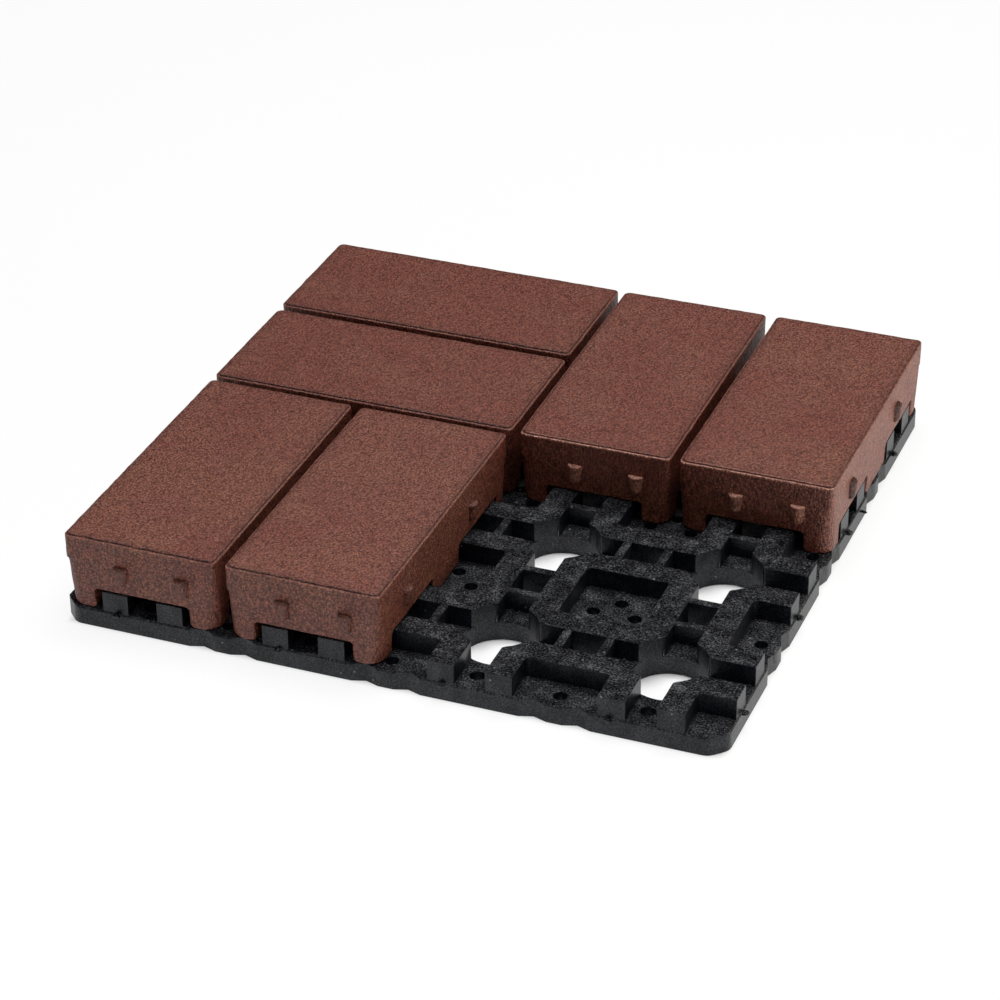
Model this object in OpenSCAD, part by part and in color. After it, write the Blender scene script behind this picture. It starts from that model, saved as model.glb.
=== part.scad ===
// Grid paver unit: six moulded composite pavers resting on a square grid
// tray in a basket-weave pattern, with one quarter of the tray left bare.
// The origin is the middle of the grid, on the tray's underside, +X right,
// +Y back, +Z up.

/* [Grid] */
// Spacing of the grid points, half a paver's laid length
pitch = 101.6; // [97:0.1:125]
// Gap from the front and right grid lines in to the tray's edge; the other two
// edges stand out by as much, so that trays butt together
tray_shift = 2.05; // [1:0.05:4]

/* [Tray plate] */
// Thickness of the tray's plate
plate_t = 12; // [6:0.5:16]
// Chamfer across the tray's four corners; its two ends are rounded
tray_chamfer = 9.5; // [4:0.5:14]
// Width of the bevel along the plate's top edges
plate_bevel = 1.2; // [0.4:0.1:3]
// Radius of the round opening in the middle of each cell
drain_r = 22.4; // [20:0.1:26]
// Half-length of the shallow notches in the tray's edge
notch_half = 8.2; // [5:0.1:10]
// Depth of the notches
notch_depth = 2.7; // [1:0.1:4]
// Distance of each notch from its grid point
notch_offset = 13; // [11:0.1:16]

/* [Tray rings] */
// Height of the square rings above the plate
ring_h = 12.5; // [8:0.5:20]
// Clear width of the pocket inside a ring
pocket_w = 50.4; // [42:0.1:60]
// Radius of the inner corners of a pocket
pocket_corner_r = 3; // [0.5:0.5:8]
// Width of a ring's wall
ring_w = 16.35; // [10:0.05:18]
// Chamfer across a ring's outer corners
ring_chamfer = 12; // [6:0.5:16]
// Gap from the tray's edge in to the ends of the rings
ring_inset = 0.85; // [0.4:0.05:3]

/* [Tray crossbars and holes] */
// Thickness of a crossbar
bar_w = 5.2; // [3:0.1:8]
// Distance of a crossbar's middle from the grid line
bar_offset = 12.8; // [11:0.1:16]
// Drop of a crossbar's top below the ring tops
bar_drop = 0.5; // [0:0.1:4]
// Diameter of the holes in the pocket floors
pocket_hole_d = 8; // [4:0.1:12]
// Distance of a pocket hole from its grid point
pocket_hole_offset = 12.7; // [8:0.1:18]
// Diameter of the holes in the channel ends
end_hole_d = 9; // [4:0.1:14]
// Distance of a channel-end hole from the outermost grid line
end_hole_offset = 15.4; // [10:0.1:20]

/* [Paver] */
// Joint between two laid pavers, along their long sides
side_joint = 5.6; // [4:0.1:8]
// Joint between two laid pavers, at their short sides
end_joint = 4.4; // [3.8:0.1:8]
// Height from a paver's feet to its top face
paver_h = 47.5; // [38:0.5:60]
// Height of the upper band, which has the tighter corners
band_h = 15.8; // [12:0.1:20]
// Corner radius of the upper band
band_r = 2.5; // [2:0.5:6]
// Corner radius of the lower body where it meets the band
body_r = 6.5; // [6:0.1:9]
// Corner radius of the lower body at the feet
foot_r = 10; // [6:0.1:12]
// Draft of the lower body on each side
draft = 0.7; // [0:0.1:2]
// Width of the step around the top face
arris_w = 1; // [0.4:0.1:2]
// Height of the step around the top face
arris_h = 1; // [0.4:0.1:2]
// Clearance between a ring's wall and the paver's legs
leg_clear = 4.8; // [1:0.1:6]
// Radius of the upright edges of the legs, inside the paver's outline
leg_r = 5; // [2:0.5:8]
// Clearance between the ring tops and the paver over them
roof_clear = 1.1; // [0.2:0.1:2]

/* [Spacer lugs] */
// Radius of a lug at its flat top
lug_r = 5; // [3:0.1:6]
// Radius of a lug at its foot
lug_foot_r = 3.6; // [1:0.1:4]
// Room left between a lug and the next paver, which takes up uneven laying
lug_gap = 0.6; // [0.4:0.1:2]
// Height of a lug from its foot to its top
lug_h = 11.5; // [8:0.5:14]
// Places of the two lugs on a short side, as shares of the side from its middle
lug_short = [-0.125, 0.276];
// Places of the two lugs on a long side, as shares of the side from its middle
lug_long = [-0.302, 0.201];

/* [Hidden] */

// Overlap that fuses one moulded feature into the next
fuse = 1;
// Circle segments of the tray's round features and of the pavers' hulls
$fn = 64;
hull_fn = 32;

cells = 4;
module_half = cells * pitch / 2;
tray_middle = [-tray_shift, tray_shift];
ring_half = pocket_w / 2 + ring_w;
channel_w = pitch - 2 * ring_half;
ring_top = plate_t + ring_h;

paver_w = pitch - side_joint;
paver_l = 2 * pitch - end_joint;
paver_top = plate_t + paver_h;
band_z = paver_top - band_h;
roof_z = ring_top + roof_clear;
recess_w = channel_w + 2 * ring_w + 2 * leg_clear;
lug_out = min(side_joint, end_joint) - lug_gap;

// Place of grid point n along either axis
function grid_at(n) = n * pitch - module_half;
// Place of the middle of cell n along either axis
function cell_at(n) = grid_at(n + 0.5);
// Distance of the tray's edge from the origin: side 0 is the front, then
// right, back and left
function edge_at(side) = module_half + (side < 2 ? -1 : 1) * tray_shift;

module chamfered_square(size, chamfer) {
    intersection() {
        square(size, center = true);
        rotate(45)
            square(sqrt(2) * (size - chamfer), center = true);
    }
}

// A chamfered square whose eight corners are rounded to r
module soft_chamfered_square(size, chamfer, r) {
    reach = size / 2 - r;
    near = size / 2 - chamfer - r * tan(22.5);
    arcs = [[reach, near], [near, reach]];
    polygon([
        for (turn = [0:3], k = [0, 1], step = [0:4])
            let (
                a = 45 * k + 45 / 4 * step,
                x = arcs[k].x + r * cos(a),
                y = arcs[k].y + r * sin(a)
            )
            [x * cos(90 * turn) - y * sin(90 * turn), x * sin(90 * turn) + y * cos(90 * turn)]
    ]);
}

module rounded_rect(size, r) {
    square([size.x - 2 * r, size.y], center = true);
    square([size.x, size.y - 2 * r], center = true);
    for (sx = [-1, 1], sy = [-1, 1])
        translate([sx * (size.x / 2 - r), sy * (size.y / 2 - r)])
            circle(r);
}

// ---- Tray ----------------------------------------------------------------

// One notch in an edge, seen from above
module edge_notch(x, y) {
    translate([x, y])
        polygon([[-notch_half, 0], [-notch_half, -fuse], [notch_half, -fuse],
                 [notch_half, 0], [0, notch_depth]]);
}

module plate_outline() {
    difference() {
        translate(tray_middle)
            soft_chamfered_square(2 * module_half, tray_chamfer, 0.85 * tray_chamfer);
        for (side = [0:3], n = [1:cells - 1], s = [-1, 1])
            rotate(90 * side)
                edge_notch(grid_at(n) + s * notch_offset, -edge_at(side));
    }
}

module ring_outline() {
    difference() {
        chamfered_square(2 * ring_half, ring_chamfer);
        rounded_rect([pocket_w, pocket_w], pocket_corner_r, $fn = hull_fn);
    }
}

// All the rings, cut off just inside the edge of the plate
module rings_outline() {
    intersection() {
        translate(tray_middle)
            square(2 * (module_half - ring_inset), center = true);
        for (i = [0:cells], j = [0:cells])
            translate([grid_at(i), grid_at(j)])
                ring_outline();
    }
}

// Places midway along the inner channels that run front to back
module at_channel_middles() {
    for (i = [0:cells - 1], j = [1:cells - 1])
        translate([cell_at(i), grid_at(j)])
            children();
}

module crossbar_pair() {
    for (s = [-1, 1])
        translate([0, s * bar_offset])
            square([channel_w + 2 * fuse, bar_w], center = true);
}

module slot_between_bars() {
    square([channel_w, 2 * bar_offset - bar_w], center = true);
}

module drains() {
    for (i = [0:cells - 1], j = [0:cells - 1])
        translate([cell_at(i), cell_at(j), -fuse])
            cylinder(r = drain_r, h = ring_top + 2 * fuse);
}

module floor_hole(x, y, d) {
    translate([x, y, -fuse])
        cylinder(d = d, h = plate_t + 2 * fuse);
}

// Four holes in each pocket, in a plus; those beyond the tray's edge drop out
module pocket_holes() {
    inside = module_half - pocket_hole_offset + fuse;
    for (i = [0:cells], j = [0:cells], a = [0:3]) {
        x = grid_at(i) + pocket_hole_offset * cos(90 * a);
        y = grid_at(j) + pocket_hole_offset * sin(90 * a);
        if (abs(x) < inside && abs(y) < inside)
            floor_hole(x, y, pocket_hole_d);
    }
}

module channel_end_holes() {
    for (side = [0:3], n = [0:cells - 1])
        rotate(90 * side)
            floor_hole(cell_at(n), end_hole_offset - module_half, end_hole_d);
}

// Bevel along the four top edges of the plate
module edge_bevels() {
    for (side = [0:3])
        rotate(90 * side)
            translate([0, -edge_at(side), plate_t])
                rotate([45, 0, 0])
                    cube([3 * module_half, sqrt(2) * plate_bevel, sqrt(2) * plate_bevel], center = true);
}

module grid_tray() {
    color("#2e2f33")
    difference() {
        union() {
            difference() {
                linear_extrude(plate_t)
                    plate_outline();
                edge_bevels();
            }
            translate([0, 0, plate_t - fuse])
                linear_extrude(ring_h + fuse)
                    rings_outline();
            for (turn = [0, 90])
                translate([0, 0, plate_t - fuse])
                    linear_extrude(ring_h + fuse - bar_drop)
                        rotate(turn)
                            at_channel_middles()
                                crossbar_pair();
        }
        drains();
        for (turn = [0, 90])
            translate([0, 0, -fuse])
                linear_extrude(ring_top + 2 * fuse)
                    rotate(turn)
                        at_channel_middles()
                            slot_between_bars();
        pocket_holes();
        channel_end_holes();
    }
}

// ---- Pavers --------------------------------------------------------------

// One spacer lug on a side that faces -Y and lies in the plane y = 0: a
// half cone, flat on top where the two halves of the mould meet
module lug() {
    translate([0, lug_r - lug_out, band_z - lug_h])
        cylinder(r1 = lug_foot_r, r2 = lug_r, h = lug_h);
}

module lugs() {
    for (turn = [0, 180])
        rotate(turn) {
            for (share = lug_short)
                translate([share * paver_w, -paver_l / 2, 0])
                    lug();
            for (share = lug_long)
                translate([paver_w / 2, share * paver_l, 0])
                    rotate(90)
                        lug();
        }
}

// Drafted body below the upper band
module lower_body() {
    hull() {
        translate([0, 0, band_z])
            linear_extrude(fuse)
                rounded_rect([paver_w, paver_l], body_r, $fn = hull_fn);
        translate([0, 0, plate_t])
            linear_extrude(fuse)
                rounded_rect([paver_w - 2 * draft, paver_l - 2 * draft], foot_r, $fn = hull_fn);
    }
}

module upper_band() {
    translate([0, 0, band_z])
        linear_extrude(band_h - arris_h)
            rounded_rect([paver_w, paver_l], band_r);
    translate([0, 0, paver_top - arris_h - fuse])
        linear_extrude(arris_h + fuse)
            rounded_rect([paver_w - 2 * arris_w, paver_l - 2 * arris_w], band_r - arris_w / 2);
}

// Outlines of the six legs: one in each corner and one midway along each
// long side. They run past the body's outline, which trims them.
module leg_outlines() {
    inner_x = recess_w / 2;
    leg_x = paver_w / 2 - inner_x + leg_r;
    end_y = pitch / 2 + recess_w / 2;
    leg_y = paver_l / 2 - end_y + leg_r;
    mid_l = pitch - recess_w;
    for (sx = [-1, 1]) {
        translate([sx * (inner_x + leg_x / 2), 0])
            rounded_rect([leg_x, mid_l], leg_r);
        for (sy = [-1, 1])
            translate([sx * (inner_x + leg_x / 2), sy * (end_y + leg_y / 2)])
                rounded_rect([leg_x, leg_y], leg_r);
    }
}

// The hollow under the paver that straddles the tray's rings: everything
// below the roof but the legs
module underside_hollow() {
    translate([0, 0, plate_t - fuse])
        linear_extrude(roof_z - plate_t + fuse)
            difference() {
                square([2 * paver_w, 2 * paver_l], center = true);
                leg_outlines();
            }
}

module paver() {
    color("#7b5147")
    difference() {
        union() {
            lower_body();
            upper_band();
            lugs();
        }
        underside_hollow();
    }
}

// A paver laid over two cells. col and row are the cell numbers of its middle,
// across is true where it lies left to right, slip and turn are how far it
// sits off its nominal place.
module laid_paver(col, row, across, slip, turn) {
    translate([cell_at(col) + slip.x, cell_at(row) + slip.y, 0])
        rotate((across ? 90 : 0) + turn)
            paver();
}

module paver_front_left() { laid_paver(0, 0.5, false, [0, 0.3], 0); }
module paver_front_middle() { laid_paver(1, 0.5, false, [0.3, 0.4], 0); }
module paver_left_near() { laid_paver(0.5, 2, true, [0.3, -0.2], 0); }
module paver_left_far() { laid_paver(0.5, 3, true, [-0.2, 0], 0); }
module paver_rear_middle() { laid_paver(2, 2.5, false, [0, -0.6], 0.4); }
module paver_rear_right() { laid_paver(3, 2.5, false, [0.5, 0.3], 0); }

grid_tray();
paver_front_left();
paver_front_middle();
paver_left_near();
paver_left_far();
paver_rear_middle();
paver_rear_right();
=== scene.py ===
"""A grid paver unit: six moulded composite pavers laid in a basket weave on a charcoal grid tray."""
import math

import bmesh
import bpy
import numpy as np
from mathutils import Matrix, Vector


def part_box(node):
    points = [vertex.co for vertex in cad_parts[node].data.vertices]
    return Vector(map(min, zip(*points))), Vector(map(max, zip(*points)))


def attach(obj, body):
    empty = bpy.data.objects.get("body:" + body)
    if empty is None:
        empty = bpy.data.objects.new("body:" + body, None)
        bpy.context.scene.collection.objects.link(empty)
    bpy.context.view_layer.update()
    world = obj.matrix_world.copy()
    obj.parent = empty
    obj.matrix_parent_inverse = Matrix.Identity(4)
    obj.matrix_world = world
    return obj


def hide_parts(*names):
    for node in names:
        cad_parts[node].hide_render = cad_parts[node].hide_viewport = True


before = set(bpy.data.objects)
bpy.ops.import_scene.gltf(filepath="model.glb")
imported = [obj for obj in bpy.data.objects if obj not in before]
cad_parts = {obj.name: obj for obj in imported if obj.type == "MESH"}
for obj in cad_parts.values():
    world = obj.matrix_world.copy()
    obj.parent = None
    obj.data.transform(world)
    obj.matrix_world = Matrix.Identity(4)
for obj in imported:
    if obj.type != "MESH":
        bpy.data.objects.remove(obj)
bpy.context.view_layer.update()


# ---- The grid tray -------------------------------------------------------
# One injection moulding in charcoal recycled polypropylene: a plate with
# raised rings and bars, drain holes, and soft edges left by the mould.

MM = 0.001                      # a millimetre in metres
SCENE = bpy.context.scene
PLATE_TOP = 12.0                # height of the plate's upper face, mm
TRAY_ROUNDING = 0.8             # the most that a rounded edge of the tray takes, mm
OUTER_EDGE = math.radians(30)   # an edge that turns out by more than this is rounded


def merged_copy(node, name):
    """A copy of a CAD node's mesh as one closed skin: its loose triangles are merged, and flat
    areas become single faces, so that only the true edges are left to round."""
    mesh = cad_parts[node].data.copy()
    mesh.name = name
    skin = bmesh.new()
    skin.from_mesh(mesh)
    bmesh.ops.remove_doubles(skin, verts=skin.verts, dist=0.002 * MM)
    bmesh.ops.dissolve_limit(skin, angle_limit=math.radians(0.5), verts=skin.verts, edges=skin.edges)
    skin.to_mesh(mesh)
    skin.free()
    mesh.materials.clear()
    piece = bpy.data.objects.new(name, mesh)
    SCENE.collection.objects.link(piece)
    return piece


def round_edges(piece, width, share):
    """Rounds the piece's outer edges. share gives the part of the full width that an edge gets from
    the heights of its lower and its upper end. Inner corners stay sharp, and the flats between the
    rounded edges stay flat to the eye."""
    mesh = piece.data
    mesh.shade_smooth()
    skin = bmesh.new()
    skin.from_mesh(mesh)
    weight = skin.edges.layers.float.new("bevel_weight_edge")
    for edge in skin.edges:
        turn = edge.calc_face_angle_signed(0)
        if turn > OUTER_EDGE:
            edge[weight] = share(*sorted(vert.co.z / MM for vert in edge.verts))
        edge.smooth = turn > -OUTER_EDGE
    skin.to_mesh(mesh)
    skin.free()
    bevel = piece.modifiers.new("Rounded edges", "BEVEL")
    bevel.width = width
    bevel.segments = 3
    bevel.limit_method = "WEIGHT"
    bevel.use_clamp_overlap = False
    flats = piece.modifiers.new("Flat faces", "WEIGHTED_NORMAL")
    flats.weight = 100
    flats.keep_sharp = True
    return piece


def tray_edge_share(low, high):
    """How much of the full rounding an edge of the tray gets: most on the rings and bars, from foot to
    top, a little less round the plate's upper face, and least on the plate's own sides."""
    level = 0.1
    if high > PLATE_TOP + level:
        return 0.55
    return 0.5 if low > PLATE_TOP - level else 0.3


def linear(hex_colour):
    """sRGB hex to the linear colour that a shader takes."""
    channels = [int(hex_colour[i:i + 2], 16) / 255 for i in (1, 3, 5)]
    return [c / 12.92 if c <= 0.04045 else ((c + 0.055) / 1.055) ** 2.4 for c in channels] + [1.0]


def add(tree, kind, links=(), stops=(), **settings):
    """Adds a node to a tree. A setting is an attribute of the node, or the value of an input that is
    named with its spaces as underscores. links pairs an input, by name or number, with an output or
    a value, and stops are the places and hex colours of a colour ramp."""
    node = tree.nodes.new(kind)
    for key, value in settings.items():
        if hasattr(node, key):
            setattr(node, key, value)
        else:
            node.inputs[key.replace("_", " ")].default_value = value
    for key, source in links:
        if isinstance(source, bpy.types.NodeSocket):
            tree.links.new(source, node.inputs[key])
        else:
            node.inputs[key].default_value = source
    for k, (place, colour) in enumerate(stops):
        element = node.color_ramp.elements[k] if k < 2 else node.color_ramp.elements.new(place)
        element.position = place
        element.color = linear(colour)
    return node


def new_material(name):
    """A material whose node tree holds nothing yet but its Object coordinates in millimetres."""
    material = bpy.data.materials.new(name)
    material.use_nodes = True
    tree = material.node_tree
    tree.nodes.clear()
    place = add(tree, "ShaderNodeTexCoord").outputs["Object"]
    millimetres = add(tree, "ShaderNodeVectorMath", [(0, place)], operation="SCALE")
    millimetres.inputs["Scale"].default_value = 1 / MM
    return material, tree, millimetres.outputs[0]


def charcoal_polypropylene():
    """Recycled polypropylene from a worn steel mould: near black, faintly blue. Faces that look up are
    rough as slate, with dull pits between grains of about a millimetre whose tops glint and are painted
    pale, partly their own rubbed tone and partly painted glints. Upright walls are darker, smoother and
    glossier, with draw lines mixed into a finer grit. A few pale specks lie on all of it: painted glints."""
    grit_size, cloud_size, line_size, glint_speck_spacing = 1.1, 9.0, 1.5, 11.0    # mm
    wall_relief, face_relief = 0.3 * MM, 0.6 * MM
    material, tree, place = new_material("charcoal_recycled_polypropylene")

    # 0 on upright walls, 1 on faces that look up
    facing = add(tree, "ShaderNodeNewGeometry")
    way = add(tree, "ShaderNodeSeparateXYZ", [(0, facing.outputs["True Normal"])])
    upward = add(tree, "ShaderNodeMapRange", [("Value", way.outputs["Z"]), (1, 0.55), (2, 0.85)]).outputs[0]

    # The grains stand higher in some places than in others. The high ones are painted pale, partly their
    # own rubbed tone and partly painted glints, most of all on the faces that look up.
    grit = add(tree, "ShaderNodeTexNoise", [("Vector", place)], Scale=1 / grit_size, Detail=2.0,
               Roughness=0.6)
    cloud = add(tree, "ShaderNodeTexNoise", [("Vector", place)], Scale=1 / cloud_size, Detail=2.0)
    height = add(tree, "ShaderNodeMath", [(0, cloud.outputs[0]), (1, 0.35), (2, grit.outputs[0])],
                 operation="MULTIPLY_ADD")
    grain_and_painted_glint = add(tree, "ShaderNodeValToRGB", [(0, height.outputs[0])],
                stops=[(0.5, "#050507"), (0.67, "#151619"), (0.77, "#2d2e31"), (0.9, "#616266")])
    wall = add(tree, "ShaderNodeValToRGB", [(0, height.outputs[0])],
               stops=[(0.55, "#04060b"), (0.68, "#0a0d15"), (0.85, "#1d2029")])
    colour = add(tree, "ShaderNodeMix", [(0, upward), (6, wall.outputs[0]), (7, grain_and_painted_glint.outputs[0])],
                 data_type="RGBA")
    # A few pale specks on all of it: painted glints
    glint_specks = add(tree, "ShaderNodeTexVoronoi", [("Vector", place)], Scale=1 / glint_speck_spacing)
    glint_speck = add(tree, "ShaderNodeMapRange", [("Value", glint_specks.outputs["Distance"]), (1, 0.03), (2, 0.075),
                                            (3, 0.85), (4, 0.0)])
    glint_flecked = add(tree, "ShaderNodeMix",
                  [(0, glint_speck.outputs[0]), (6, colour.outputs[2]), (7, linear("#7d8086"))], data_type="RGBA")

    # Relief: grit on the faces, and on the walls also the lines along which the mould was drawn off.
    drawn = add(tree, "ShaderNodeMapping", [("Vector", place)], Scale=(1.0, 1.0, 0.12))
    lines = add(tree, "ShaderNodeTexNoise", [("Vector", drawn.outputs[0])], Scale=1 / line_size, Detail=2.0)
    gritty = add(tree, "ShaderNodeMapRange", [("Value", upward), (3, 0.45), (4, 1.0)])
    relief = add(tree, "ShaderNodeMix", [(0, gritty.outputs[0]), (2, lines.outputs[0]), (3, grit.outputs[0])])
    depth = add(tree, "ShaderNodeMapRange", [("Value", upward), (3, wall_relief), (4, face_relief)])
    bump = add(tree, "ShaderNodeBump", [("Height", relief.outputs[0]), ("Distance", depth.outputs[0])],
               Strength=1.0)

    # Gloss: the pits are dull and the rubbed grains glint.
    polish = add(tree, "ShaderNodeMapRange", [("Value", height.outputs[0]), (1, 0.55), (2, 0.9), (3, 0.01),
                                              (4, 0.4)])
    gleam = add(tree, "ShaderNodeMapRange", [("Value", height.outputs[0]), (1, 0.55), (2, 0.9), (3, 0.32),
                                             (4, 0.65)])
    sheen = add(tree, "ShaderNodeMix", [(0, upward), (2, gleam.outputs[0]), (3, polish.outputs[0])])
    dry = add(tree, "ShaderNodeMapRange", [("Value", upward), (3, 0.36), (4, 0.45)])
    shader = add(tree, "ShaderNodeBsdfPrincipled",
                 [("Base Color", glint_flecked.outputs[2]), ("Roughness", dry.outputs[0]),
                  ("Specular IOR Level", sheen.outputs[0]), ("Normal", bump.outputs[0])], IOR=1.45,
                 Specular_IOR_Level=0.25)
    add(tree, "ShaderNodeOutputMaterial", [(0, shader.outputs[0])])
    return material


tray = round_edges(merged_copy("grid_tray", "grid_tray_moulding"), TRAY_ROUNDING * MM, tray_edge_share)
tray.data.materials.append(charcoal_polypropylene())
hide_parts("grid_tray")
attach(tray, "root")


# ---- The tray's gate stubs -----------------------------------------------
# Where the molten plastic ran into the mould, torn stubs are left: four on the
# plate's front edge and four on its right edge, which also has a small burr.
# They are part of the tray's moulding.

# Each lump's middle and its reach each way from there, in millimetres
FRONT_STUBS = [((x, -201.9, 10.6), (2.2, 1.8, 1.5)) for x in (-168.9, -66.2, 33.8, 133.7)]
RIGHT_STUBS = [((202.4, y, 10.3), (2.2, 2.1, 1.6)) for y in (-168.0, -64.6, 36.6, 138.0)]
BURR = ((202.4, 69.0, 6.6), (1.9, 0.9, 0.8))    # on the right edge
STUB_ROWS, STUB_COLUMNS = 12, 24
STUB_LOW, STUB_HIGH = (-999, -204.4, 0.5), (204.6, 999, 999)    # they are snapped off flat here
TORN = [(1.6, 0.6), (0.8, 0.2)]     # how rough they are: size and depth of the dents, mm


def grid_faces(rows, columns, first):
    """The faces of a grid that closes on itself along its columns, as indices from first."""
    r, c = np.meshgrid(np.arange(rows - 1), np.arange(columns), indexing="ij")
    nxt = (c + 1) % columns
    return (first + np.stack([r * columns + c, (r + 1) * columns + c,
                              (r + 1) * columns + nxt, r * columns + nxt], axis=2)).reshape(-1, 4)


def value_noise(points, size, seed):
    """Smooth noise from -1 to 1: random values on a cubic lattice of the given size, blended between
    its points by a smooth step. It repeats after 32 of them."""
    repeat, away_from_zero = 32, 1000.0
    lattice = np.random.RandomState(seed).uniform(-1, 1, (repeat, repeat, repeat))
    scaled = points / size + away_from_zero
    cell = np.floor(scaled).astype(int)
    t = scaled - cell
    t = t * t * (3 - 2 * t)
    total = 0
    for corner in np.ndindex(2, 2, 2):
        weight = np.prod(np.where(corner, t, 1 - t), axis=1)
        i = (cell + corner) % repeat
        total = total + weight * lattice[i[:, 0], i[:, 1], i[:, 2]]
    return total


def rough(points, amounts, seed):
    """Points moved a little every way by noise, given (size, amount) pairs in millimetres."""
    moved = points.copy()
    for k, (size, amount) in enumerate(amounts):
        for axis in range(3):
            moved[:, axis] += amount * value_noise(points, size, seed + 7 * k + axis)
    return moved


def mesh_object(name, points, faces, **values):
    """An object from points in metres and faces, with coincident points merged and the faces that
    this leaves without any size removed. Values given for the points, such as how pale or dark the
    paver is painted for wear, painted highlight and painted shade, are kept under their names for the
    material."""
    mesh = bpy.data.meshes.new(name)
    mesh.from_pydata(points, [], faces.tolist())
    for kind, value in values.items():
        mesh.attributes.new(kind, "FLOAT", "POINT").data.foreach_set("value", value)
    skin = bmesh.new()
    skin.from_mesh(mesh)
    bmesh.ops.remove_doubles(skin, verts=skin.verts, dist=0.004 * MM)
    bmesh.ops.dissolve_degenerate(skin, edges=skin.edges, dist=0.001 * MM)
    bmesh.ops.recalc_face_normals(skin, faces=skin.faces)
    skin.to_mesh(mesh)
    skin.free()
    piece = bpy.data.objects.new(name, mesh)
    SCENE.collection.objects.link(piece)
    return piece


def stub_points(middle, reach, seed):
    """A torn stub: an oval lump sunk into the plate's edge, dented all over, and flat where it is
    snapped off. Rows run from its top to its underside and columns round it, in millimetres."""
    polar, turn = np.meshgrid(np.linspace(0, math.pi, STUB_ROWS),
                              np.linspace(0, 2 * math.pi, STUB_COLUMNS + 1)[:-1], indexing="ij")
    oval = np.stack([np.sin(polar) * np.cos(turn), np.sin(polar) * np.sin(turn), np.cos(polar)], axis=2)
    return np.clip(rough(middle + reach * oval.reshape(-1, 3), TORN, seed), STUB_LOW, STUB_HIGH)


lumps = FRONT_STUBS + RIGHT_STUBS + [BURR]
points = np.concatenate([stub_points(np.array(middle), np.array(reach), 40 + k)
                         for k, (middle, reach) in enumerate(lumps)])
faces = np.concatenate([grid_faces(STUB_ROWS, STUB_COLUMNS, STUB_ROWS * STUB_COLUMNS * k)
                        for k in range(len(lumps))])
stubs = mesh_object("grid_tray_gate_stubs", points * MM, faces)
stubs.data.shade_smooth()
stubs.data.materials.append(tray.data.materials[0])
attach(stubs, "root")


# ---- The six pavers ------------------------------------------------------
# Each is one compression moulding of ground tyre rubber and plastic, coloured
# red-brown right through. A small step runs round the top, the body is drafted
# below the line where the mould parts, and six legs stand in the tray.

PAVER_HALF = np.array([48.0, 99.4])     # half width and half length, mm
FEET_Z, ROOF_Z, PARTING_Z, TOP_Z = 12.0, 25.6, 43.7, 59.5
STEP_WIDTH, STEP = 1.5, 1.0             # width and height of the step round the top
STEP_RADIUS, BAND_RADIUS = 3.6, 3.9     # their corners, seen from above
BODY_RADIUS, FOOT_RADIUS = 6.5, 10.0    # the body's corners at the parting line and at the feet
TOP_ROUND, LIP_ROUND = 0.9, 0.4         # rounding of the top's edge and of the step's outer lip
DRAFT = 0.7                             # what the body draws in by at its feet
FEET_EASE, ROOF_EASE = 1.6, 0.5         # rounding of the lower edge at the feet and along the roof
SHORT_LEG_EDGE = 30.4                   # where a leg begins along a short side, from its middle
LONG_LEG_EDGES = 20.4, 81.2             # where one ends and the next begins along a long side
FAR = 99.0                              # further than any place along a side
LEG_DEPTH, LEG_INNER_EASE = 16.9, 0.6   # a leg's depth from outside, and what its inner edge is eased by
FOOT_ROUND, ROOF_ROUND = 2.2, 2.6       # seen from the side: a foot's corners, and the roof's
GRID = 1.5                              # spacing of the surface's columns on a side
CORNER_COLUMNS = 11                     # and their number round a corner


def spread(limit, edges):
    """Places along one side from -limit to limit, about GRID apart, and close together at each leg's
    edge, on both sides of it."""
    steps = max(2, int(round(2 * limit / GRID)))
    places = np.linspace(-limit, limit, steps + 1)
    near = np.array([0.01, 0.25, 0.55, 0.95, 1.45, 2.1, 2.9])
    kept_clear = 3.4                    # even places make way for the close ones here
    near = np.concatenate([-near, near])
    edges = np.array([e for e in edges if e < limit])
    edges = np.concatenate([-edges, edges])
    clear = np.abs(places[:, None] - edges[None, :]).min(axis=1) > kept_clear
    return np.sort(np.concatenate([places[clear], (edges[:, None] + near[None, :]).ravel()]))


def outline_columns():
    """The columns of the paver's skin, anticlockwise from above. On a side, a column keeps its place
    along the side (flat) and on a corner it keeps to the corner (sign); angle is its way outwards."""
    inner = PAVER_HALF - FOOT_RADIUS
    short = spread(inner[0], [SHORT_LEG_EDGE])
    long = spread(inner[1], LONG_LEG_EDGES)
    corner = np.linspace(0, math.pi / 2, CORNER_COLUMNS + 2)[1:-1]
    sign, flat, angle = [], [], []
    sides = [(short, (0, -1), -math.pi / 2), (long, (1, 0), 0.0), (-short, (0, 1), math.pi / 2),
             (-long, (-1, 0), math.pi)]
    for (along, out, facing), corner_sign in zip(sides, [(1, -1), (1, 1), (-1, 1), (-1, -1)]):
        still = np.zeros(len(along))
        sign.append(np.tile(out, (len(along), 1)))
        flat.append(np.stack([along, still] if out[0] == 0 else [still, along], axis=1))
        angle.append(still + facing)
        sign.append(np.tile(corner_sign, (len(corner), 1)))
        flat.append(np.zeros((len(corner), 2)))
        angle.append(facing + corner)
    return np.concatenate(sign), np.concatenate(flat), np.concatenate(angle)


def ring_at(columns, half, radius, inset):
    """The outline's points for each column: a rounded rectangle of the given half sizes and corner
    radius, moved inwards by inset. Past the radius its corners are sharp, and columns meet there."""
    sign, flat, angle = columns
    left = np.maximum(radius - inset, 0)
    place = []
    for axis, way in enumerate((np.cos(angle), np.sin(angle))):
        reach = half[axis] - inset - left
        straight = sign[:, axis] * (half[axis] - radius) + flat[:, axis]
        place.append(np.clip(straight, -reach, reach) + left * way)
    return np.stack(place, axis=1)


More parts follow.
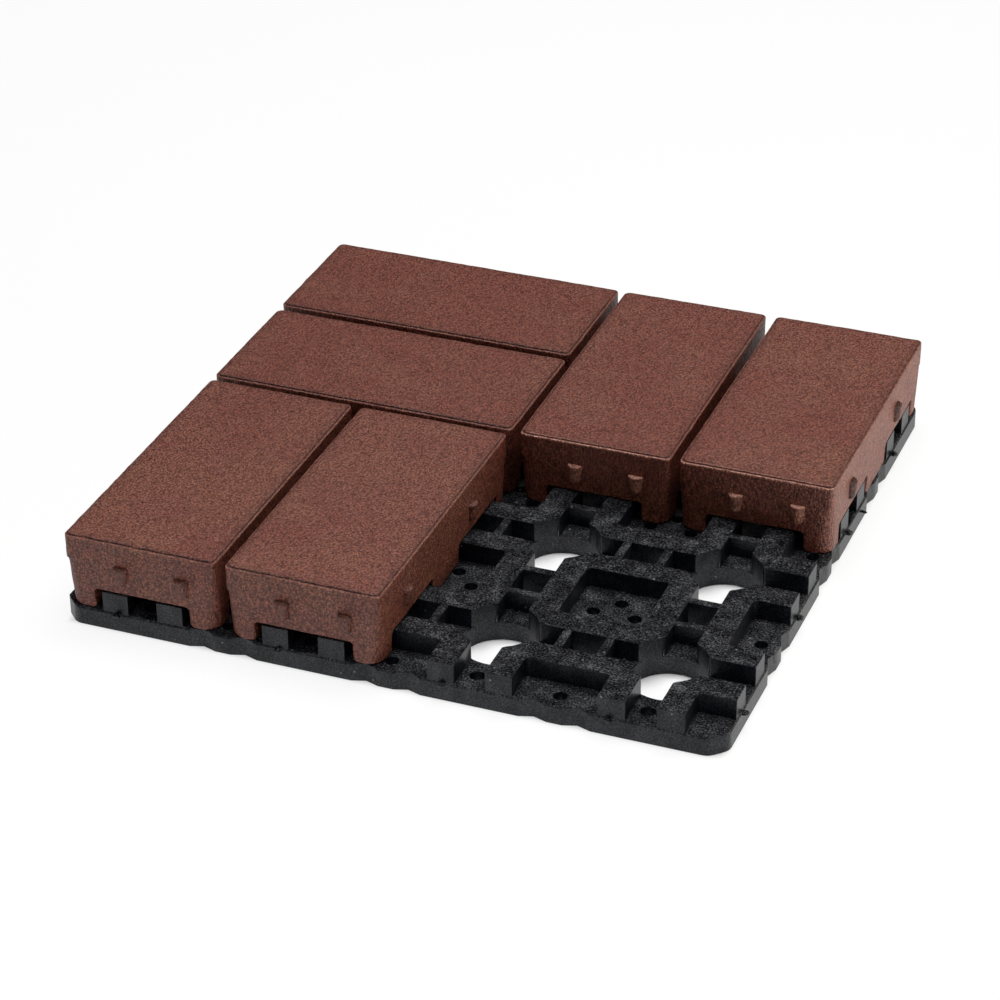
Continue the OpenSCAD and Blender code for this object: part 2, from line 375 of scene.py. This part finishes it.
def quarter_circle(radius, distance):
    """How far a face rounded by a quarter circle stands back, at a distance from its edge: the radius
    minus the root of the radius squared less the rest squared, where the rest is what the distance
    leaves of the radius. At the edge that is the whole radius, and past the radius it is nothing."""
    rest = np.clip(radius - distance, 0, None)
    return radius - np.sqrt(np.maximum(radius ** 2 - rest ** 2, 0))


def foot_line(columns):
    """Height of the skin's lower edge at each column. It runs along the roof of the hollow and steps
    down round each leg, with a quarter circle at the foot and another under the roof."""
    sign, flat, angle = columns
    inside = np.full(len(angle), FAR)   # distance into the nearest leg, less than 0 outside it
    for axis, spans in ((0, [(SHORT_LEG_EDGE, FAR)]),
                        (1, [(0, LONG_LEG_EDGES[0]), (LONG_LEG_EDGES[1], FAR)])):
        mask = sign[:, axis] == 0
        along = np.abs(flat[:, axis])
        into = np.max([np.minimum(np.where(low > 0, along - low, FAR), high - along)
                       for low, high in spans], axis=0)
        inside[mask] = into[mask]
    foot = FEET_Z + quarter_circle(FOOT_ROUND, inside)
    roof = ROOF_Z - quarter_circle(ROOF_ROUND, -inside)
    return np.where(inside > 0, foot, roof)


def paver_skin():
    """Points of the paver's whole skin, rows by columns: from the middle of the top out over the step,
    down the band and the body, in under the feet, and along the roof to the middle again. Each point
    has a fourth number for its colour: 1 where it is painted pale, partly wear and partly painted
    highlight, and -1 where it is painted dark with the painted shade that falls in the step."""
    columns = outline_columns()
    angle = columns[2]
    n = len(angle)
    outwards = np.stack([np.cos(angle), np.sin(angle)], axis=1)
    rows = []

    def row(half, radius, inset, z, wear=0.0):
        rows.append(np.column_stack([ring_at(columns, half, radius, inset), np.broadcast_to(z, (n,)),
                                     np.full(n, wear)]))

    # The top face, painted a little darker towards its edge as painted shade, and the rounding of that
    # edge, painted darker still
    top_half = PAVER_HALF - STEP_WIDTH
    shaded_rim = 6.0
    for inset in np.concatenate([np.linspace(top_half[0], 2.0, 31), [1.2]]):
        row(top_half, STEP_RADIUS, inset, TOP_Z, wear=-0.5 * max(0.0, 1 - inset / shaded_rim))
    for a in np.linspace(0, math.pi / 2, 5):
        row(top_half, STEP_RADIUS, TOP_ROUND * (1 - math.sin(a)), TOP_Z - TOP_ROUND * (1 - math.cos(a)),
            wear=-0.5 - 0.5 * math.sin(a) ** 4)

    # The step, painted dark with the painted shade in its corner, its lip, painted pale as partly wear
    # and partly painted highlight, and the band down to the parting line
    step_z = TOP_Z - STEP
    row(top_half, STEP_RADIUS, 0.02, step_z + 0.03, wear=-1.0)
    row(PAVER_HALF, BAND_RADIUS, STEP_WIDTH - 0.12, step_z, wear=-1.0)
    for a in np.linspace(0, math.pi / 2, 4):
        row(PAVER_HALF, BAND_RADIUS, LIP_ROUND * (1 - math.sin(a)), step_z - LIP_ROUND * (1 - math.cos(a)),
            wear=1.0)
    for z in np.linspace(step_z - 1.5, PARTING_Z + 0.8, 10):
        row(PAVER_HALF, BAND_RADIUS, 0, z)
    row(PAVER_HALF, BAND_RADIUS, 0, PARTING_Z + 0.15)
    row(PAVER_HALF, BAND_RADIUS, 0.12 * np.abs(np.sin(2 * angle)), PARTING_Z)

    # The drafted body, with its rows closer together where the lower edge is rounded
    foot_z = foot_line(columns)
    down = (ROOF_Z - foot_z) / (ROOF_Z - FEET_Z)
    edge = ROOF_EASE + (FEET_EASE - ROOF_EASE) * np.clip(down, 0, 1)
    body = []
    for share in np.concatenate([[0.0, 0.03], np.linspace(0.1, 1.0, 10)]):
        body.append(PARTING_Z + (foot_z + 1.3 * edge - PARTING_Z) * share)
    for share in (1.0, 0.7, 0.42, 0.2, 0.06, 0.0):
        body.append(foot_z + edge * share)
    points = []
    for z in body:
        down = (PARTING_Z - z) / (PARTING_Z - FEET_Z)
        half = PAVER_HALF[:, None] - DRAFT * down
        radius = BODY_RADIUS + (FOOT_RADIUS - BODY_RADIUS) * down
        points.append(np.column_stack([ring_at(columns, half, radius, 0), z, np.zeros(n)]))
    points = np.array(points)

    # A point's distance along the skin from the lower edge rounds the skin inwards there. The skin
    # is laid out flat for that, with the lower edge as a line in steps much shorter than GRID.
    run = np.concatenate([[0], np.cumsum(np.hypot(*np.diff(points[-1, :, :2], axis=0).T))])
    flat = np.stack([np.broadcast_to(run, points.shape[:2]), points[:, :, 2]], axis=2)
    line = np.stack([run, foot_z], axis=1)
    fine = np.concatenate([line[:-1] + (line[1:] - line[:-1]) * t for t in np.linspace(0, 1, 24)])
    near = np.stack([np.sqrt(((level[:, None, :] - fine[None, :, :]) ** 2).sum(axis=2).min(axis=1))
                     for level in flat])
    points[:, :, :2] -= quarter_circle(edge, near)[:, :, None] * outwards
    rows += list(points)

    # Under the feet, up the inner faces of the legs, and along the roof to the middle
    low_half = PAVER_HALF - DRAFT
    for inset in (2.2, 5.0, 9.5, 13.5, LEG_DEPTH - 1.0, LEG_DEPTH):
        row(low_half, FOOT_RADIUS, inset, foot_z + (LEG_INNER_EASE if inset == LEG_DEPTH else 0))
    row(low_half, FOOT_RADIUS, LEG_DEPTH + 0.1, ROOF_Z)
    for inset in np.linspace(LEG_DEPTH + 3, low_half[0], 6):
        row(low_half, FOOT_RADIUS, inset, ROOF_Z)
    return np.array(rows)


LUG_FOOT_Z = 32.2
LUG_FOOT_RADIUS, LUG_TOP_RADIUS = 3.6, 5.0
LUG_SINK = 1.2                          # how far a lug's axis lies inside the paver's side
LUG_COLUMNS = 32
LUGS_SHORT, LUGS_LONG = (-12.0, 26.5), (-60.04, 39.96)  # places along a short and a long side


def lug_skin(place, facing):
    """A spacer lug: half a cone, flat on top where the mould parts, standing out from one side. Rows
    go up from its foot to its top, columns round it; the cone's other half is inside the paver."""
    heights = np.array([0, 0, 0.4, 1.8, 3.8, 5.8, 7.8, 9.8, 10.7, 11.2, 11.5, 11.5])
    easing = np.array([9, 0.5, 0.1, 0, 0, 0, 0, 0, 0.03, 0.25, 0.7, 9])     # taken off the radius
    radii = LUG_FOOT_RADIUS + (LUG_TOP_RADIUS - LUG_FOOT_RADIUS) * heights / heights[-1]
    radii = np.maximum(radii - easing, 0)
    turn = np.linspace(0, 2 * math.pi, LUG_COLUMNS + 1)[:-1]
    centre = np.array(place) - LUG_SINK * np.array(facing)
    x = centre[0] + radii[:, None] * np.cos(turn)[None, :]
    y = centre[1] + radii[:, None] * np.sin(turn)[None, :]
    z = np.broadcast_to(LUG_FOOT_Z + heights[:, None], x.shape)
    # A lug's flat top takes all of the painted highlight or painted shade set for it, its cone half
    wear = np.broadcast_to(np.where(heights > 11.0, 1.0, 0.5)[:, None], x.shape)
    return np.stack([x, y, z, wear], axis=2)


def paver_points():
    """The points of a paver and its eight lugs, in its own frame in millimetres, each with its value
    for wear and painted light and shade, the faces, and which of the points are on a lug."""
    skin = paver_skin()
    grids = [skin]
    for side in (-1, 1):
        grids += [lug_skin((-side * x, side * PAVER_HALF[1]), (0, side)) for x in LUGS_SHORT]
        grids += [lug_skin((side * PAVER_HALF[0], side * y), (side, 0)) for y in LUGS_LONG]
    points, faces, first = [], [], 0
    for grid in grids:
        rows, columns = grid.shape[:2]
        points.append(grid.reshape(-1, 4))
        faces.append(grid_faces(rows, columns, first))
        first += rows * columns
    return np.concatenate(points), np.concatenate(faces), np.arange(first) >= len(points[0])


def red_brown_composite():
    """Ground rubber and plastic pressed together: dull and sandy. Granules of about a millimetre each
    take their own shade, small dark pits lie between them, and the whole is a little redder or
    yellower by place and by batch. Where the value that each point carries is over 0 the skin is
    painted pale in patches, partly wear and partly painted highlight, and where it is under 0 it is
    painted darker: painted shade. The sides carry faint upright drag lines from the mould, tinted a
    little redder than the top: painted light bounced between the pavers."""
    granule_size, pit_spacing, patch_size, grit_size, cloud_size = 1.3, 13.0, 1.8, 1.1, 40.0   # mm
    relief_depth = 0.9 * MM
    material, tree, place = new_material("red_brown_rubber_composite")

    # Granules, each higher or lower and lighter or darker than the next
    granule = add(tree, "ShaderNodeTexVoronoi", [("Vector", place)], Scale=1 / granule_size)
    raised = add(tree, "ShaderNodeMath", [(0, 0.85), (1, granule.outputs["Distance"])], operation="SUBTRACT")
    level = add(tree, "ShaderNodeMath", [(0, granule.outputs["Color"]), (1, 0.4), (2, raised.outputs[0])],
                operation="MULTIPLY_ADD")
    shade = add(tree, "ShaderNodeValToRGB", [(0, level.outputs[0])],
                stops=[(0.12, "#471f15"), (0.4, "#612e21"), (0.6, "#723f30"), (0.88, "#905b4a")])

    # The mix: redder where it is low, yellower where it is high
    cloud = add(tree, "ShaderNodeTexNoise", [("Vector", place)], Scale=1 / cloud_size, Detail=2.0)
    batch = add(tree, "ShaderNodeAttribute", attribute_name="batch").outputs["Fac"]
    mixed = add(tree, "ShaderNodeMath", [(0, cloud.outputs[0]), (1, batch)])
    tint = add(tree, "ShaderNodeValToRGB", [(0, mixed.outputs[0])],
               stops=[(0.36, "#f2e1df"), (0.5, "#f6f2f2"), (0.64, "#fbfff8")])
    grained = add(tree, "ShaderNodeMix", [(0, 1.0), (6, shade.outputs[0]), (7, tint.outputs[0])],
                  data_type="RGBA", blend_type="MULTIPLY")
    pits = add(tree, "ShaderNodeTexVoronoi", [("Vector", place)], Scale=1 / pit_spacing)
    pit = add(tree, "ShaderNodeMapRange", [("Value", pits.outputs["Distance"]), (1, 0.035), (2, 0.065),
                                           (3, 0.8), (4, 0.0)])
    pitted = add(tree, "ShaderNodeMix",
                 [(0, pit.outputs[0]), (6, grained.outputs[2]), (7, linear("#2b1712"))], data_type="RGBA")

    # Places painted pale, partly rubbed and partly painted highlight, and places painted darker as
    # painted shade, broken up by patches
    wear = add(tree, "ShaderNodeAttribute", attribute_name="wear").outputs["Fac"]
    patches = add(tree, "ShaderNodeTexNoise", [("Vector", place)], Scale=1 / patch_size, Detail=2.0)
    patchy = add(tree, "ShaderNodeMapRange", [("Value", patches.outputs[0]), (1, 0.35), (2, 0.62), (3, 0.15),
                                              (4, 1.0)])
    scuffed_and_lit = add(tree, "ShaderNodeMath", [(0, wear), (1, patchy.outputs[0])], operation="MULTIPLY",
                 use_clamp=True)
    worn_and_lit = add(tree, "ShaderNodeMix",
               [(0, scuffed_and_lit.outputs[0]), (6, pitted.outputs[2]), (7, linear("#c48f7e"))], data_type="RGBA")
    hold = add(tree, "ShaderNodeMapRange", [("Value", patches.outputs[0]), (1, 0.35), (2, 0.62), (3, -0.3),
                                            (4, -1.6)])
    painted_shade = add(tree, "ShaderNodeMath", [(0, wear), (1, hold.outputs[0])], operation="MULTIPLY",
                 use_clamp=True)
    shaded = add(tree, "ShaderNodeMix",
                 [(0, painted_shade.outputs[0]), (6, worn_and_lit.outputs[2]), (7, linear("#38160e"))], data_type="RGBA")

    # Sides: drag lines four times as tall as they are wide, on a paler skin, tinted a little redder than
    # the top: painted light bounced between the pavers
    upright = add(tree, "ShaderNodeMapping", [("Vector", place)], Scale=(1.0, 1.0, 0.25))
    grit = add(tree, "ShaderNodeTexNoise", [("Vector", upright.outputs[0])], Scale=1 / grit_size,
               Detail=1.5, Roughness=0.6)
    facing = add(tree, "ShaderNodeNewGeometry")
    way = add(tree, "ShaderNodeSeparateXYZ", [(0, facing.outputs["True Normal"])])
    side = add(tree, "ShaderNodeMapRange", [("Value", way.outputs["Z"]), (1, 0.3), (2, 0.7), (3, 1.0),
                                            (4, 0.0)])
    streak_and_bounce_tint = add(tree, "ShaderNodeValToRGB", [(0, grit.outputs[0])],
                 stops=[(0.3, "#979490"), (0.5, "#bdb8b1"), (0.7, "#dad5ce")])
    dragged = add(tree, "ShaderNodeMix",
                  [(0, side.outputs[0]), (6, shaded.outputs[2]), (7, streak_and_bounce_tint.outputs[0])],
                  data_type="RGBA", blend_type="MULTIPLY")
    lifted = add(tree, "ShaderNodeMapRange", [("Value", side.outputs[0]), (3, 1.0), (4, 1.85)])
    colour = add(tree, "ShaderNodeVectorMath", [(0, dragged.outputs[2]), (3, lifted.outputs[0])],
                 operation="SCALE")

    shader = add(tree, "ShaderNodeBsdfPrincipled", [("Base Color", colour.outputs[0])], Roughness=0.5,
                 IOR=1.5)
    relief = add(tree, "ShaderNodeMath", [(0, raised.outputs[0]), (1, 0.5), (2, grit.outputs[0])],
                 operation="MULTIPLY_ADD")
    bump = add(tree, "ShaderNodeBump", [("Height", relief.outputs[0])], Strength=1.0, Distance=relief_depth)
    tree.links.new(bump.outputs[0], shader.inputs["Normal"])
    add(tree, "ShaderNodeOutputMaterial", [(0, shader.outputs[0])])
    return material


# How pale a paver is painted on its front lip, its front lugs and its other lugs: wear and painted
# highlight. Below 0 it is painted darker instead: painted shade.
SCUFF_AND_LIGHT = {"paver_rear_middle": (1.0, 0.9, -0.4), "paver_rear_right": (1.0, 0.9, -1.5)}
LESS_SCUFF_AND_LIGHT = (0.2, -0.6, -0.4)         # the same for the other pavers
OTHER_LIPS_SCUFF_AND_HIGHLIGHT = 0.15                   # any paver's lip on its left, its right and at its back: wear and painted highlight
# How pale the right side of a paver is painted, in patches: painted highlight where the light from the right
# falls
RIGHT_SIDE_PAINTED_LIGHT = {"paver_rear_right": 0.17}
BATCH = {"paver_left_far": -0.12, "paver_left_near": -0.07, "paver_rear_middle": -0.07,
         "paver_rear_right": -0.05}     # how red its mix is: the lower, the redder
USUAL_BATCH = 0.03
SKEWED = {"paver_rear_middle": 0.4}     # degrees that a paver is laid askew
UNEVEN = [(9.0, 0.14), (3.2, 0.12)]     # how uneven a paver is: size and depth of the dents, mm
SIDE_DEPTH = 6                          # mm; points no deeper than this belong to a side

composite = red_brown_composite()
own_points, own_faces, on_lug = paver_points()
own_points, own_wear = own_points[:, :3], own_points[:, 3]
for number, node in enumerate(sorted(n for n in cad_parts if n.startswith("paver_"))):
    low, high = (np.array(corner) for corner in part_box(node))
    middle, size = (low + high) / 2, high - low
    turn = math.radians(SKEWED.get(node, 0) + (90 if size[0] > size[1] else 0))
    spun = own_points.copy()
    spun[:, 0] = own_points[:, 0] * math.cos(turn) - own_points[:, 1] * math.sin(turn)
    spun[:, 1] = own_points[:, 0] * math.sin(turn) + own_points[:, 1] * math.cos(turn)
    spun[:, :2] += middle[:2] / MM
    spun = rough(spun, UNEVEN, 100 + number)
    placed = np.clip(spun * MM, low, high)

    on_front = spun[:, 1] < low[1] / MM + SIDE_DEPTH
    front_lip_scuff_and_highlight, front_lug_painted_light, other_lug_painted_light = SCUFF_AND_LIGHT.get(node, LESS_SCUFF_AND_LIGHT)
    lip_scuff_and_highlight = np.where(on_front, front_lip_scuff_and_highlight, OTHER_LIPS_SCUFF_AND_HIGHLIGHT)
    lug_painted_light = np.where(on_front, front_lug_painted_light, other_lug_painted_light)
    # Painted shade on the top's edge and in the step: full on the front and in the step, less elsewhere
    rim_shade_and_highlight = np.where(on_front | (own_wear == -1), 1.0, 0.6)
    if node in SCUFF_AND_LIGHT:                  # here the front edge of the top is painted pale instead: wear and painted highlight
        rim_shade_and_highlight = np.where(on_front & (own_wear > -0.75), -0.7, rim_shade_and_highlight)
    wear = own_wear * np.where(on_lug, lug_painted_light, np.where(own_wear > 0, lip_scuff_and_highlight, rim_shade_and_highlight))
    # The right side below the step takes that painted highlight
    on_right = (spun[:, 0] > high[0] / MM - SIDE_DEPTH) & (own_wear == 0) & (spun[:, 2] < TOP_Z - STEP)
    wear = np.where(on_right, RIGHT_SIDE_PAINTED_LIGHT.get(node, 0), wear)
    batch = np.full(len(wear), BATCH.get(node, USUAL_BATCH))

    paver = mesh_object(node + "_moulding", placed, own_faces, wear=wear, batch=batch)
    paver.data.shade_smooth()
    paver.data.set_sharp_from_angle(angle=math.radians(60))
    paver.data.materials.append(composite)
    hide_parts(node)
    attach(paver, "root")


# ---- The floor -----------------------------------------------------------
# White paper. It throws light up onto the object's sides, and shows nearly
# plain white itself, with a little of its own shading kept for the shadow.

FLOOR_REACH, FLOOR_Z = 40.0, -0.0003    # metres; it lies a hair below the tray's underside


def white_paper():
    """Matt white paper. Seen straight or mirrored it is mostly plain white, but under the tray, where
    no light gets in, it is not."""
    fibre_size = 2.0                            # mm
    under_tray, outside_tray = 194.0, 203.0     # mm from the middle, left and right or front and back
    plain_white = 0.86                          # the rest is the paper's own shading
    material, tree, place = new_material("white_paper")
    rays = add(tree, "ShaderNodeLightPath")
    fibre = add(tree, "ShaderNodeTexNoise", [("Vector", place)], Scale=1 / fibre_size, Detail=3.0)
    tone = add(tree, "ShaderNodeValToRGB", [(0, fibre.outputs[0])],
               stops=[(0.0, "#f2f2f2"), (1.0, "#f5f5f5")])
    paper = add(tree, "ShaderNodeBsdfDiffuse", [("Color", tone.outputs[0])])
    glow = add(tree, "ShaderNodeEmission", Strength=1.0)
    off = add(tree, "ShaderNodeVectorMath", [(0, place)], operation="ABSOLUTE")
    off = add(tree, "ShaderNodeSeparateXYZ", [(0, off.outputs[0])])
    off = add(tree, "ShaderNodeMath", [(0, off.outputs[0]), (1, off.outputs[1])], operation="MAXIMUM")
    open_floor = add(tree, "ShaderNodeMapRange", [("Value", off.outputs[0]), (1, under_tray),
                                                  (2, outside_tray), (4, plain_white)])
    seen = add(tree, "ShaderNodeMixShader", [(0, open_floor.outputs[0]), (1, paper.outputs[0]),
                                             (2, glow.outputs[0])])
    direct = add(tree, "ShaderNodeMath",
                 [(0, rays.outputs["Is Camera Ray"]), (1, rays.outputs["Is Glossy Ray"])],
                 operation="MAXIMUM")
    direct = add(tree, "ShaderNodeMath", [(0, direct.outputs[0]), (1, rays.outputs["Is Transmission Ray"])],
                 operation="MAXIMUM")
    surface = add(tree, "ShaderNodeMixShader", [(0, direct.outputs[0]), (1, paper.outputs[0]),
                                                (2, seen.outputs[0])])
    add(tree, "ShaderNodeOutputMaterial", [(0, surface.outputs[0])])
    return material


floor_mesh = bpy.data.meshes.new("floor")
floor_corners = [(x * FLOOR_REACH, y * FLOOR_REACH, FLOOR_Z)
                 for x, y in ((-1, -1), (1, -1), (1, 1), (-1, 1))]
floor_mesh.from_pydata(floor_corners, [], [(0, 1, 2, 3)])
floor = bpy.data.objects.new("floor", floor_mesh)
SCENE.collection.objects.link(floor)
floor.data.materials.append(white_paper())


# ---- Light ---------------------------------------------------------------
# A broad soft lamp above and behind, a low warm one on the right that lights
# the sides facing it, and a faint one on the floor in front. The room is dim.

def soft_lamp(name, place, target, size, watts, spread=180, colour="#ffffff"):
    """An area lamp of the given width and height in metres, turned to face target."""
    lamp = bpy.data.lights.new(name, "AREA")
    lamp.shape = "RECTANGLE"
    lamp.size, lamp.size_y = size
    lamp.energy = watts
    lamp.color = linear(colour)[:3]
    lamp.spread = math.radians(spread)
    holder = bpy.data.objects.new(name, lamp)
    SCENE.collection.objects.link(holder)
    aim = (Vector(target) - Vector(place)).to_track_quat("-Z", "Y").to_matrix().to_4x4()
    holder.matrix_world = Matrix.Translation(place) @ aim


soft_lamp("key_softbox", (0.15, 0.30, 2.1), (0.05, 0.05, 0), (1.6, 1.6), 56)
soft_lamp("right_softbox", (0.62, 0.10, 0.15), (0.0, 0.0, 0.02), (0.5, 0.25), 1.5, colour="#fff5e2")
soft_lamp("front_floor_wash", (-0.05, -0.75, 0.5), (-0.05, -0.65, 0), (0.9, 0.4), 1.5, spread=110)

world = bpy.data.worlds.new("dim_room")
SCENE.world = world
world.use_nodes = True
world.node_tree.nodes.clear()
room = add(world.node_tree, "ShaderNodeBackground", Color=(1, 1, 1, 1), Strength=0.01)
add(world.node_tree, "ShaderNodeOutputWorld", [(0, room.outputs[0])])


# ---- Camera --------------------------------------------------------------
# A long lens a little to the right of the front, looking down at 30 degrees.

CAMERA_PLACE = Vector((0.6379, -1.6346, 1.0557))
CAMERA_AIM = Vector((0.0038, -0.0317, 0.0300))
CAMERA_ROLL = math.radians(-0.585)

camera_data = bpy.data.cameras.new("camera")
camera_data.lens = 120.12
camera_data.sensor_width = 36
camera_data.clip_end = 50
camera = bpy.data.objects.new("camera", camera_data)
SCENE.collection.objects.link(camera)
camera.matrix_world = Matrix.Translation(CAMERA_PLACE) @ \
    (CAMERA_AIM - CAMERA_PLACE).to_track_quat("-Z", "Y").to_matrix().to_4x4() @ \
    Matrix.Rotation(CAMERA_ROLL, 4, "Z")
SCENE.camera = camera

SCENE.view_settings.view_transform = "Standard"
